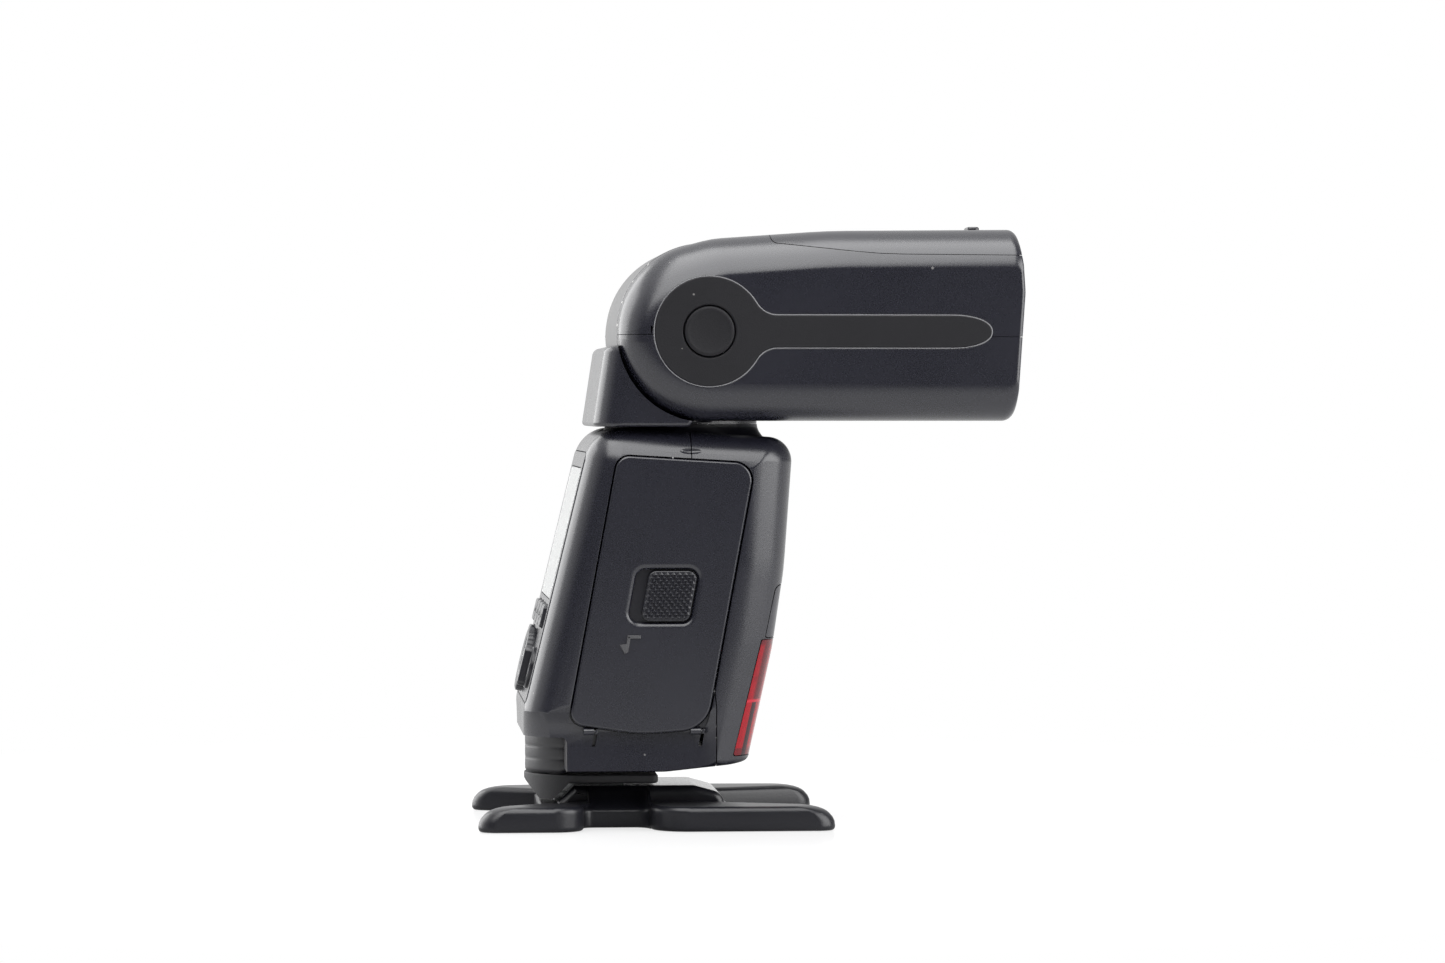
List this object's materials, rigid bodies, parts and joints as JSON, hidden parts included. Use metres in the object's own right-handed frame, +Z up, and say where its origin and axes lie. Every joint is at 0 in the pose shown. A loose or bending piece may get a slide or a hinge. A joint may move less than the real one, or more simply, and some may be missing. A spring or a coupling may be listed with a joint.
{
  "type": "camera flash on table stand",
  "caption": "Shoe-mount electronic camera flash: hinged, swivelling zoom head on a leaning body with battery door, standing on a flat table stand.",
  "frame": {"origin": "mouth of the tripod thread in the underside of the stand, level with the table", "axes": "+X the way the head points, +Y to the left of that, +Z up"},
  "size_m": [0.1329, 0.079, 0.1482],
  "materials": {
    "stand_plastic": "fine grain, worn pale on top",
    "brass": "machined",
    "foot_metal": "brushed",
    "gold_contact": "plated",
    "steel": "plain",
    "rubber": "matt",
    "case_plastic": "fine moulded grain",
    "trim_plastic": "satin",
    "key_plastic": "satin",
    "grip_rubber": "matt, dusty",
    "inner_plastic": "plain",
    "cell_wrap": "printed sleeve",
    "capacitor_sleeve": "shrink sleeve",
    "circuit_board": "solder resist",
    "display": "liquid crystal",
    "display_window": "polished",
    "red_window": "polished, deep red",
    "dark_window": "polished",
    "clear_plastic": "moulded grooves",
    "white_plastic": "satin",
    "mirror_sheet": "polished",
    "tube_glass": "clear"
  },
  "bodies": {
    "stand": {"stand_base": "stand_plastic", "thread_insert": "brass"},
    "flash_body": {"mounting_foot": "foot_metal", "foot_contacts": "gold_contact", "foot_screws": "steel", "foot_skirt": "rubber", "foot_base": "case_plastic", "body_front_shell": "case_plastic", "body_rear_shell": "case_plastic", "swivel_collar": "trim_plastic", "battery_holder": "inner_plastic", "battery_cells": "cell_wrap", "battery_contacts": "steel", "main_capacitor": "capacitor_sleeve", "main_board": "circuit_board", "lcd_module": "display", "lcd_window": "display_window", "control_panel": "trim_plastic", "terminal_sockets": "inner_plastic", "focus_lamp_window": "red_window", "focus_lamps": "clear_plastic", "sensor_window": "dark_window"},
    "lock_lever": {"lock_lever": "key_plastic"},
    "lock_pin": {"lock_pin": "steel"},
    "door_carriage": {"door_hinge_bracket": "steel"},
    "battery_door": {"battery_door": "case_plastic"},
    "door_latch": {"door_latch": "key_plastic"},
    "function_button_1": {"function_button_1": "key_plastic"},
    "function_button_2": {"function_button_2": "key_plastic"},
    "function_button_3": {"function_button_3": "key_plastic"},
    "function_button_4": {"function_button_4": "key_plastic"},
    "wireless_button": {"wireless_button": "key_plastic"},
    "test_button": {"test_button": "key_plastic"},
    "select_dial": {"select_dial": "key_plastic"},
    "set_button": {"set_button": "key_plastic"},
    "power_switch": {"power_switch": "key_plastic"},
    "terminal_cover": {"terminal_cover": "rubber"},
    "yoke": {"yoke_saddle": "case_plastic", "yoke_drum": "trim_plastic", "tilt_pins": "steel", "swivel_spindle": "steel", "spindle_ring": "steel"},
    "head": {"head_bracket": "inner_plastic", "head_lower_shell": "case_plastic", "head_upper_shell": "case_plastic", "head_top_cover": "case_plastic", "panel_tray": "inner_plastic", "side_insert_right": "grip_rubber", "side_insert_left": "grip_rubber", "fresnel_lens": "clear_plastic", "guide_rods": "steel", "zoom_motor": "steel", "trigger_board": "circuit_board"},
    "head_lock_button": {"head_lock_button": "grip_rubber"},
    "wide_panel": {"wide_panel": "clear_plastic"},
    "catchlight_panel": {"catchlight_panel": "white_plastic"},
    "zoom_carriage": {"zoom_carriage": "inner_plastic", "reflector": "mirror_sheet", "flash_tube": "tube_glass"},
    "zoom_screw": {"zoom_screw": "steel"}
  },
  "joints": [
    {"name": "shoe_slide", "type": "slide", "parent": "stand", "child": "flash_body", "axis": [-1, 0, 0], "range_m": [0, 0.03]},
    {"name": "lock_pin_drop", "type": "slide", "parent": "flash_body", "child": "lock_pin", "axis": [0, 0, -1], "range_m": [0, 0.0013]},
    {"name": "lock_turn", "type": "hinge", "parent": "flash_body", "child": "lock_lever", "pos_m": [-0.015, 0, 0.0188], "axis": [0, 0, -1], "range_deg": [0, 30.1]},
    {"name": "door_slide", "type": "slide", "parent": "flash_body", "child": "door_carriage", "axis": [-0.1805, 0, -0.9836], "range_m": [0, 0.003]},
    {"name": "door_swing", "type": "hinge", "parent": "door_carriage", "child": "battery_door", "pos_m": [0, -0.0346, 0.0243], "axis": [1, 0, 0], "range_deg": [0, 95]},
    {"name": "latch_slide", "type": "slide", "parent": "battery_door", "child": "door_latch", "axis": [-1, 0, 0], "range_m": [0, 0.0026], "stiffness_N_per_m": 250},
    {"name": "function_press_1", "type": "slide", "parent": "flash_body", "child": "function_button_1", "axis": [0.9718, 0, -0.236], "range_m": [0, 0.0007], "stiffness_N_per_m": 800},
    {"name": "function_press_2", "type": "slide", "parent": "flash_body", "child": "function_button_2", "axis": [0.9718, 0, -0.236], "range_m": [0, 0.0007], "stiffness_N_per_m": 800},
    {"name": "function_press_3", "type": "slide", "parent": "flash_body", "child": "function_button_3", "axis": [0.9718, 0, -0.236], "range_m": [0, 0.0007], "stiffness_N_per_m": 800},
    {"name": "function_press_4", "type": "slide", "parent": "flash_body", "child": "function_button_4", "axis": [0.9718, 0, -0.236], "range_m": [0, 0.0007], "stiffness_N_per_m": 800},
    {"name": "wireless_press", "type": "slide", "parent": "flash_body", "child": "wireless_button", "axis": [0.9718, 0, -0.236], "range_m": [0, 0.0008], "stiffness_N_per_m": 800},
    {"name": "test_press", "type": "slide", "parent": "flash_body", "child": "test_button", "axis": [0.9718, 0, -0.236], "range_m": [0, 0.0008], "stiffness_N_per_m": 800},
    {"name": "dial_turn", "type": "hinge", "parent": "flash_body", "child": "select_dial", "pos_m": [-0.02983, 0, 0.04004], "axis": [-0.9718, 0, 0.236], "continuous": true},
    {"name": "set_press", "type": "slide", "parent": "flash_body", "child": "set_button", "axis": [0.9718, 0, -0.236], "range_m": [0, 0.0006], "stiffness_N_per_m": 800},
    {"name": "power_turn", "type": "hinge", "parent": "flash_body", "child": "power_switch", "pos_m": [-0.03007, -0.0195, 0.03906], "axis": [-0.9718, 0, 0.236], "range_deg": [-20, 20]},
    {"name": "terminal_cover_swing", "type": "hinge", "parent": "flash_body", "child": "terminal_cover", "pos_m": [-0.011, 0.0347, 0.0563], "axis": [0, 0, 1], "range_deg": [0, 100]},
    {"name": "head_swivel", "type": "hinge", "parent": "flash_body", "child": "yoke", "pos_m": [0.008, 0, 0.0974], "axis": [0, 0, 1], "range_deg": [-180, 180]},
    {"name": "head_tilt", "type": "hinge", "parent": "yoke", "child": "head", "pos_m": [0.0123, 0, 0.1214], "axis": [0, -1, 0], "range_deg": [-7, 90]},
    {"name": "head_lock_press", "type": "slide", "parent": "head", "child": "head_lock_button", "axis": [0, 1, 0], "range_m": [0, 0.0015], "stiffness_N_per_m": 600},
    {"name": "wide_panel_slide", "type": "slide", "parent": "head", "child": "wide_panel", "axis": [1, 0, 0], "range_m": [0, 0.04]},
    {"name": "catchlight_slide", "type": "slide", "parent": "head", "child": "catchlight_panel", "axis": [1, 0, 0], "range_m": [0, 0.036]},
    {"name": "zoom_slide", "type": "slide", "parent": "head", "child": "zoom_carriage", "axis": [1, 0, 0], "range_m": [0, 0.018]},
    {"name": "zoom_turn", "type": "hinge", "parent": "head", "child": "zoom_screw", "pos_m": [0.042, -0.0315, 0.1071], "axis": [1, 0, 0], "range_deg": [0, 2161]}
  ],
  "couplings": [
    {"joint": "lock_turn", "follows": "lock_pin_drop", "rad_per_m": 402.77},
    {"joint": "zoom_turn", "follows": "zoom_slide", "rad_per_m": 2094.4}
  ]
}
